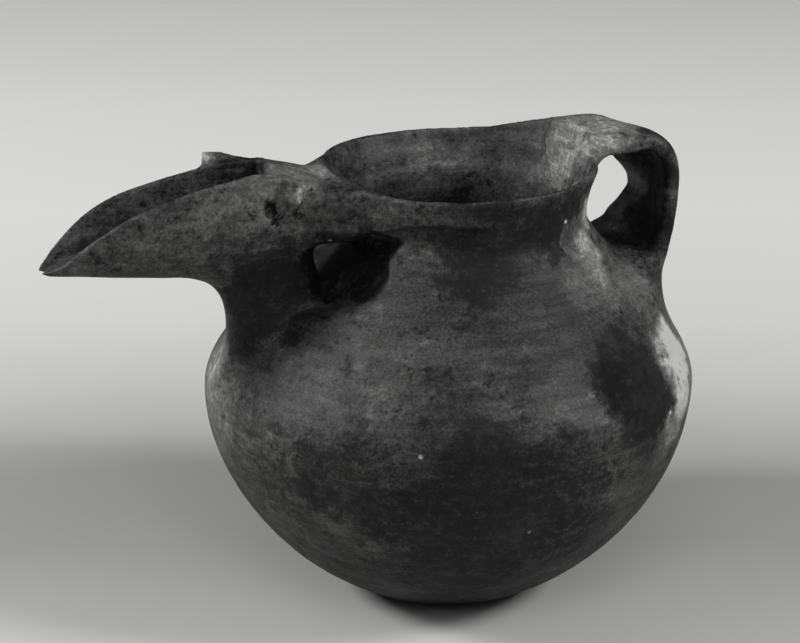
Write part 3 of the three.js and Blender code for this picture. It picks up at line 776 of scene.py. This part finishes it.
def dress(name, mesh):
    # Smooth shading that runs on over the cuts, and flat faces on the cuts themselves.
    mesh.name = name
    corner = np.zeros(len(mesh.loops), np.int32)
    mesh.loops.foreach_get("vertex_index", corner)
    place = np.zeros(len(mesh.vertices) * 3, np.float32)
    mesh.vertices.foreach_get("co", place)
    place = place.reshape(-1, 3) * 1000
    faceNormal = np.zeros(len(mesh.polygons) * 3, np.float32)
    mesh.polygons.foreach_get("normal", faceNormal)
    sides = np.zeros(len(mesh.polygons), np.int32)
    mesh.polygons.foreach_get("loop_total", sides)
    faceNormal = np.repeat(faceNormal.reshape(-1, 3), sides, axis=0)
    out = slopeAt(place)
    deep = np.abs(sampleGrid(clay, place)) > skinned["depth"]
    onSkin = (out[corner] * faceNormal).sum(1) > skinned["facing"]
    ends = np.cumsum(sides) - sides
    faceDeep = np.maximum.reduceat(deep[corner], ends)
    faceSkin = np.minimum.reduceat(onSkin, ends) & ~faceDeep
    use = np.repeat(faceSkin, sides)
    normals = np.where(use[:, None], out[corner], faceNormal)
    mesh.polygons.foreach_set("use_smooth", np.ones(len(mesh.polygons), bool))
    mesh.normals_split_custom_set(normals.tolist())
    piece = bpy.data.objects.new("clay_" + name, mesh)
    bpy.context.scene.collection.objects.link(piece)
    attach(piece, "root")
    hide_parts(name)
    return piece


pieces = {name: dress(name, mesh) for name, mesh in takeOut().items()}
bpy.data.objects.remove(whole)
print("stage: cut into", len(pieces), "pieces,", sum(len(p.data.polygons) for p in pieces.values()), "faces")

# Grey ware, fired unevenly: mottled greys, soot, fire-clouds, grit, wiping streaks and a rubbed sheen in its
# roughness, with painted shade and painted highlights laid into its colour.
ware = {
    "greys": [(0.0, 0.0012), (0.24, 0.0035), (0.34, 0.0105), (0.43, 0.031), (0.55, 0.062), (0.75, 0.15),
              (1.0, 0.50)],
    "base": 0.458,
    # Scale, detail and roughness of each pattern, then how much of it goes into the tone.
    "patterns": {"broad": (17.0, 2.0, 0.5), "middle": (62.0, 5.0, 0.62), "grain": (330.0, 4.0, 0.75),
                 "fine": (1150.0, 2.0, 0.6), "wiped": (210.0, 3.0, 0.6), "crumbs": (190.0, 5.0, 0.75)},
    "broadShare": 0.34, "shares": {"middle": 0.62, "grain": 0.62, "fine": 0.42, "wiped": 0.34},
    "wipedStretch": (0.22, 0.22, 1.9), "wipedTurn": (0.16, 0.1, 0),
    "warp": {"Scale": 95.0, "Detail": 4.0, "Roughness": 0.65}, "ragged": 0.034, "gentler": 0.45,
    # Soot and painted shade: their speckle's parts, and the range of the speckle that runs from little darkening to
    # more than the spot has.
    "sootGrain": 1.3, "sootMiddle": 0.7, "patchy": (0.84, 1.14, 0.10, 1.35),
    "crumbs": (0.55, 0.66, 0.0, 0.34), "crumbsWhere": (0.62, 0.40),
    "gritScale": 105.0, "gritRare": (0.90, 0.99), "gritSize": (0.05, 0.13), "gritPale": 0.55,
    "rough": (0.30, 0.70, 0.46, 0.62), "roughGrain": 0.20, "roughSoot": 0.5, "roughest": 0.9,
    "specular": 0.27,
    "relief": {"grain": 0.5, "wiped": 0.7, "middle": 0.9, "grit": 0.5}, "bump": 0.55, "bumpHigh": 0.0006,
    # Where soot, fire-clouds and painted shade lie: place in mm, reach in mm, how dark. The spots in the eyes' pits,
    # on the neck under the near lip, in the hollow under the bridge and inside the handle's loop are painted shade;
    # those in the two large pits, along the trough's floor, inside the mouth, on the front of the neck, over the
    # lower vessel and at the base only make it darker there; the rest are soot and fire-clouds.
    "sootAndShadeSpots": [((-5.9, -86, 72.5), 3.4, 0.40), ((10, -80.6, 50), 2.6, 0.40), ((-66.6, -13, 149.8), 3.8, 0.80),
               ((-66.6, 13, 149.8), 3.8, 0.80), ((-120, 2, 135), 9, 0.30), ((-102, 2, 137), 11, 0.30),
               ((-84, 2, 142), 11, 0.30), ((40, -66, 90), 16, 0.58), ((33, -70, 101), 11, 0.34),
               ((44, -72, 80), 11, 0.40), ((-19, -80, 64), 25, 0.30), ((-44, -68, 54), 17, 0.34),
               ((-64, -50, 60), 10, 0.30), ((8, -84, 70), 15, 0.26), ((2, -82, 58), 9, 0.26),
               ((12, -76, 45), 22, 0.28), ((-20, -66, 32), 26, 0.34), ((22, -82, 66), 9, 0.22),
               ((-40, -56, 30), 14, 0.20), ((-6, -46, 130), 16, 0.30), ((12, -46, 139), 10, 0.26),
               ((28, -37, 145), 8, 0.46), ((-37, -19, 126), 10, 0.80), ((-34, -16, 134), 9, 0.70),
               ((-42, 0, 126), 16, 0.80), ((-37, 19, 126), 10, 0.70), ((26, 26, 150), 16, 0.20),
               ((20, -42, 139), 9, 0.34), ((-68, -14, 122), 13, 0.34), ((-78, -10, 110), 11, 0.30),
               ((-62, -17, 106), 8, 0.24), ((71, -7, 132), 13, 0.60), ((72, -6, 146), 12, 0.60),
               ((58, 0, 118), 10, 0.30), ((60, 60, 60), 24, 0.32), ((-30, 76, 50), 22, 0.30),
               ((20, 60, 100), 18, 0.25), ((-70, 40, 50), 14, 0.25), ((4, 0, 60), 72, 0.40),
               ((-1, -40, 150), 9, 0.22), ((0, 0, 8), 34, 0.20)],
    # Paler places, the same way. Painted highlights on the eye curls, the bridge's top, the ear, the near cheek, the
    # top of the handle's root and the far inside of the mouth; painted light on the neck beside the handle, on the
    # right shoulder, under the handle's root and down the belly's left edge; a painted sheen on the right flank, over
    # clay that is paler there. The spots along the scratch are its paler clay, and the rest only make it paler there.
    "paleAndLit": [((-60.3, -18, 154), 3.6, 0.34), ((-60.3, 18, 154), 3.6, 0.34), ((-58, -6, 159), 14, 0.18),
             ((-58, -50, 95), 24, 0.06), ((62, -50, 94), 10, 0.50), ((68, -45, 92), 14, 0.66),
             ((66, -55, 81), 12, 0.54), ((60, -62, 72), 10, 0.28), ((78, -28, 80), 20, 0.32),
             ((56, -36, 112), 15, 0.24), ((43, -22, 139), 8, 0.34), ((67, 14, 124), 9, 0.16),
             ((40, -32, 129), 8, 0.32), ((38, -39, 123), 8, 0.26), ((40, -44, 117), 9, 0.20),
             ((47, 4, 150), 12, 0.24), ((24, -75, 94), 1.8, 0.30), ((31, -73, 95), 1.8, 0.30),
             ((38, -70.4, 94), 1.8, 0.30), ((-79, 14, 90), 16, 0.36), ((-84, 4, 76), 20, 0.22),
             ((52, 0, 158), 18, 0.30), ((-46, 2, 156), 12, 0.24), ((30, -45, 116), 11, 0.20),
             ((-84, 16, 160), 6, 0.40), ((20, 40, 150), 20, 0.12), ((-76, -14, 152), 14, 0.14)],
}


# A spot is full up to the first share of its reach and gone at the second. Both are in metres for each mm.
spotCore, spotEdge = 0.0005, 0.00135


class NodeMaker:
    def __init__(self, tree):
        self.tree = tree

    def node(self, kind, inputs=(), **settings):
        made = self.tree.nodes.new("ShaderNode" + kind)
        for name, value in settings.items():
            setattr(made, name, value)
        for name, value in dict(inputs).items():
            if isinstance(value, bpy.types.NodeSocket):
                self.tree.links.new(value, made.inputs[name])
            else:
                made.inputs[name].default_value = value
        return made

    def maths(self, operation, a, b=0.0, c=0.0):
        return self.node("Math", {0: a, 1: b, 2: c}, operation=operation).outputs[0]

    def vector(self, operation, a, b):
        return self.node("VectorMath", {0: a, 1: b}, operation=operation).outputs[0]

    def noise(self, place, scale, detail=3.0, rough=0.55):
        made = self.node("TexNoise", {"Vector": place, "Scale": scale, "Detail": detail, "Roughness": rough})
        return made.outputs["Fac"]

    def ranged(self, value, low, high, first=0.0, last=1.0):
        inputs = {"Value": value, "From Min": low, "From Max": high, "To Min": first, "To Max": last}
        return self.node("MapRange", inputs, interpolation_type="SMOOTHSTEP").outputs["Result"]

    def stretched(self, place, scale, turn=(0, 0, 0)):
        return self.node("Mapping", {"Vector": place, "Scale": scale, "Rotation": turn}).outputs["Vector"]

    def spots(self, place, spots):
        total = None
        for centre, reach, strength in spots:
            inputs = {0: place, 1: Vector(centre) / 1000}
            apart = self.node("VectorMath", inputs, operation="DISTANCE").outputs["Value"]
            value = self.ranged(apart, spotCore * reach, spotEdge * reach, strength, 0.0)
            total = value if total is None else self.maths("MAXIMUM", total, value)
        return total

    def ramp(self, value, stops):
        made = self.node("ValToRGB", {"Fac": value})
        while len(made.color_ramp.elements) < len(stops):
            made.color_ramp.elements.new(0.5)
        for element, (place, grey) in zip(made.color_ramp.elements, stops):
            element.position = place
            element.color = (grey, grey, grey * 0.98, 1)
        return made.outputs["Color"]


def greyWare():
    material = bpy.data.materials.new("greyWare")
    material.use_nodes = True
    make = NodeMaker(material.node_tree)
    shader = material.node_tree.nodes["Principled BSDF"]
    place = make.node("TexCoord").outputs["Object"]
    warp = make.node("TexNoise", {"Vector": place, **ware["warp"]}).outputs["Color"]
    shift = make.vector("SUBTRACT", warp, (0.5, 0.5, 0.5))
    shift = make.node("VectorMath", {0: shift, "Scale": ware["ragged"]}, operation="SCALE").outputs[0]
    ragged = make.vector("ADD", place, shift)
    shift = make.node("VectorMath", {0: shift, "Scale": ware["gentler"]}, operation="SCALE").outputs[0]
    gently = make.vector("ADD", place, shift)

    places = {"broad": place, "middle": ragged, "grain": place, "fine": place, "crumbs": place,
              "wiped": make.stretched(place, ware["wipedStretch"], ware["wipedTurn"])}
    patterns = {name: make.noise(places[name], *settings) for name, settings in ware["patterns"].items()}
    middle, grain, wiped = patterns["middle"], patterns["grain"], patterns["wiped"]
    # Soot, fire-clouds and painted shade: the dark spots.
    sootAndShade = make.spots(ragged, ware["sootAndShadeSpots"])
    # Paler clay, and painted highlights, painted light and a painted sheen: the pale spots.
    paleAndLit = make.spots(gently, ware["paleAndLit"])
    mottled = make.maths("MULTIPLY", middle, ware["sootMiddle"])
    mottled = make.maths("MULTIPLY_ADD", grain, ware["sootGrain"], mottled)
    patchy = make.ranged(mottled, *ware["patchy"])
    broad = ware["broadShare"]
    tone = make.maths("MULTIPLY_ADD", patterns["broad"], broad, ware["base"] - 0.5 * broad)
    for name, share in ware["shares"].items():
        tone = make.maths("MULTIPLY_ADD", patterns[name], share, make.maths("SUBTRACT", tone, 0.5 * share))
    # The dark spots, painted shade among them, are taken from the tone in speckles.
    tone = make.maths("SUBTRACT", tone, make.maths("MULTIPLY", sootAndShade, patchy))
    # The pale spots, mostly painted light, are added to the tone.
    tone = make.maths("ADD", tone, paleAndLit)
    # Black crumbs in the soot and pale grit everywhere.
    crumbs = make.ranged(patterns["crumbs"], *ware["crumbs"])
    tone = make.maths("SUBTRACT", tone, make.maths("MULTIPLY", crumbs, make.ranged(middle, *ware["crumbsWhere"])))
    cells = make.node("TexVoronoi", {"Vector": place, "Scale": ware["gritScale"], "Randomness": 1.0})
    rare = make.ranged(make.node("SeparateColor", {"Color": cells.outputs["Color"]}).outputs[0], *ware["gritRare"])
    grit = make.maths("MULTIPLY", make.ranged(cells.outputs["Distance"], *ware["gritSize"], 1.0, 0.0), rare)
    tone = make.maths("MULTIPLY_ADD", grit, ware["gritPale"], tone)
    make.tree.links.new(make.ramp(tone, ware["greys"]), shader.inputs["Base Color"])

    rough = make.ranged(middle, *ware["rough"])
    rough = make.maths("MULTIPLY_ADD", grain, ware["roughGrain"],
                       make.maths("SUBTRACT", rough, 0.5 * ware["roughGrain"]))
    rough = make.maths("MULTIPLY_ADD", sootAndShade, ware["roughSoot"], rough)
    make.tree.links.new(make.maths("MINIMUM", rough, ware["roughest"]), shader.inputs["Roughness"])
    shader.inputs["Specular IOR Level"].default_value = ware["specular"]
    relief = ware["relief"]
    height = make.maths("MULTIPLY_ADD", grain, relief["grain"], make.maths("MULTIPLY", wiped, relief["wiped"]))
    height = make.maths("MULTIPLY_ADD", middle, relief["middle"], height)
    height = make.maths("MULTIPLY_ADD", grit, relief["grit"], height)
    bump = make.node("Bump", {"Height": height, "Strength": ware["bump"], "Distance": ware["bumpHigh"]})
    make.tree.links.new(bump.outputs["Normal"], shader.inputs["Normal"])
    return material


material = greyWare()
for piece in pieces.values():
    piece.data.materials.clear()
    piece.data.materials.append(material)

# The camera stands left of the side view and above it, where the photograph was taken from.
view = {"position": (-361.0, -943.9, 444.1), "aim": (-5.3, 33.42, 85.94), "lens": 137.2}
camera = bpy.data.objects.new("camera", bpy.data.cameras.new("camera"))
bpy.context.scene.collection.objects.link(camera)
camera.location = Vector(view["position"]) / 1000
camera.rotation_euler = (Vector(view["aim"]) - Vector(view["position"])).to_track_quat("-Z", "Y").to_euler()
camera.data.lens = view["lens"]
camera.data.sensor_width = 36
camera.data.clip_start = 0.01
bpy.context.scene.camera = camera

bpy.context.scene.view_settings.view_transform = "Standard"
# A pale sheet of paper under and behind the jug, in soft bands of grey that run across the camera's view. The bands
# are painted shade: darkest around and just behind the jug, paler toward the camera and palest far behind.
ground = {
    "half": 6000,
    "across": (0.342, 0.94), "from": -0.35, "to": 0.65,
    "greys": [(0.0, 0.66), (0.28, 0.60), (0.33, 0.53), (0.38, 0.44), (0.47, 0.41), (0.55, 0.59), (0.63, 0.72),
              (0.8, 0.88), (1.0, 0.95)],
    "mottle": (5.0, 2.0), "mottled": 0.05, "rough": 0.9, "specular": 0.1,
}
half = ground["half"]
corners = np.array([(-half, -half, 0), (half, -half, 0), (half, half, 0), (-half, half, 0)], float)
floor = meshFrom("floor", corners, [(0, 1, 2, 3)])


def paper():
    material = bpy.data.materials.new("paper")
    material.use_nodes = True
    make = NodeMaker(material.node_tree)
    shader = material.node_tree.nodes["Principled BSDF"]
    place = make.node("TexCoord").outputs["Object"]
    ahead = make.node("VectorMath", {0: place, 1: (*ground["across"], 0)}, operation="DOT_PRODUCT").outputs["Value"]
    share = make.node("MapRange", {"Value": ahead, "From Min": ground["from"], "From Max": ground["to"]}).outputs[0]
    mottle, amount = make.noise(place, *ground["mottle"]), ground["mottled"]
    share = make.maths("MULTIPLY_ADD", mottle, amount, make.maths("SUBTRACT", share, 0.5 * amount))
    make.tree.links.new(make.ramp(share, ground["greys"]), shader.inputs["Base Color"])
    shader.inputs["Roughness"].default_value = ground["rough"]
    shader.inputs["Specular IOR Level"].default_value = ground["specular"]
    return material


floor.data.materials.append(paper())
# A faint even light from the room, a soft lamp at each side, and a broad weak one in front.
room = {"grey": 0.8, "strength": 0.13}
world = bpy.data.worlds.new("room")
bpy.context.scene.world = world
world.use_nodes = True
world.node_tree.nodes["Background"].inputs["Color"].default_value = (*[room["grey"]] * 3, 1)
world.node_tree.nodes["Background"].inputs["Strength"].default_value = room["strength"]
lampAim = (0, 0, 0.08)
lamps = {
    "leftLamp": {"place": (-1.23, 0.29, 0.90), "size": 0.35, "power": 17},
    "rightLamp": {"place": (0.95, -0.70, 0.90), "size": 0.35, "power": 13},
    "frontLamp": {"place": (-0.45, -1.35, 1.45), "size": 1.0, "power": 8},
}
for name, lamp in lamps.items():
    light = bpy.data.objects.new(name, bpy.data.lights.new(name, "AREA"))
    bpy.context.scene.collection.objects.link(light)
    light.data.size, light.data.energy = lamp["size"], lamp["power"]
    light.location = lamp["place"]
    light.rotation_euler = (Vector(lampAim) - light.location).to_track_quat("-Z", "Y").to_euler()
print("stage: materials and lights")
